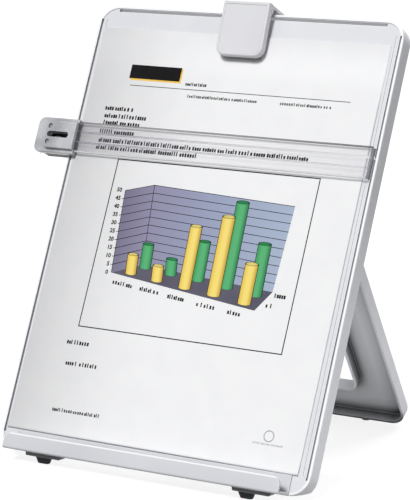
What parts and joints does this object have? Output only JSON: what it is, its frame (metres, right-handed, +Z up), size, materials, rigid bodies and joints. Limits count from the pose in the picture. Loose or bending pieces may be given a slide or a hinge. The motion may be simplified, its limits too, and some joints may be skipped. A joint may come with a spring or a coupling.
{
  "type": "copy holder with line guide",
  "caption": "Tilting desk copy holder: moulded back panel with bottom ledge, fold-out easel leg, sliding spring paper clip and a clear line guide that slides on the side edge.",
  "frame": {"origin": "middle of the bounding box's footprint, on the desk that the rubber feet stand on", "axes": "+Z up off the desk, +Y from the front ledge back to the leg's end (the sheet faces -Y and tilts back), +X to the viewer's right"},
  "size_m": [0.2538, 0.2117, 0.2919],
  "materials": {
    "platinum": "fine satin, light grey moulded plastic",
    "clip_plastic": "satin, light grey moulded plastic",
    "paper": "printed letter paper, wood fibre",
    "steel": "drawn steel pin",
    "spring_steel": "spring wire",
    "dark_spring": "blackened spring strip",
    "grey_rubber": "soft grey strip",
    "clear_plastic": "clear, polished",
    "smoke_plastic": "smoke grey, translucent",
    "dark_plastic": "black moulded plastic",
    "black_rubber": "black rubber",
    "rivet_steel": "small round heads"
  },
  "bodies": {
    "stand": {"front_panel": "platinum", "paper_ledge": "platinum", "paper_sheet": "paper", "hinge_pin_left": "steel", "hinge_pin_right": "steel", "front_foot_left": "black_rubber", "front_foot_right": "black_rubber"},
    "leg": {"support_leg": "platinum", "rear_foot_left": "black_rubber", "rear_foot_right": "black_rubber"},
    "clip_slider": {"clip_carriage": "platinum", "clip_pivot_pin": "steel", "clip_spring": "spring_steel"},
    "clip_lever": {"clip_jaw": "clip_plastic", "clip_jaw_rubber": "grey_rubber"},
    "line_guide": {"guide_bar": "clear_plastic", "slider_housing": "smoke_plastic", "slider_grip": "dark_plastic", "slider_brake": "black_rubber", "slider_leaf_spring": "dark_spring", "slider_rivets": "rivet_steel"}
  },
  "joints": [
    {"name": "leg_fold", "type": "hinge", "parent": "stand", "child": "leg", "pos_m": [0.01265, -0.00363, 0.16993], "axis": [-1, 0, 0], "range_deg": [0, 58.15]},
    {"name": "clip_slide", "type": "slide", "parent": "stand", "child": "clip_slider", "axis": [1, 0, 0], "range_m": [-0.0904, 0.0864]},
    {"name": "clip_open", "type": "hinge", "parent": "clip_slider", "child": "clip_lever", "pos_m": [0.01465, 0.03794, 0.28572], "axis": [-1, 0, 0], "range_deg": [0, 8], "stiffness_Nm_per_rad": 0.2, "springref_deg": -28.65, "deforming": ["clip_spring"]},
    {"name": "guide_slide", "type": "slide", "parent": "stand", "child": "line_guide", "axis": [0, 0.4384, 0.8988], "range_m": [-0.1876, 0.0498]}
  ]
}
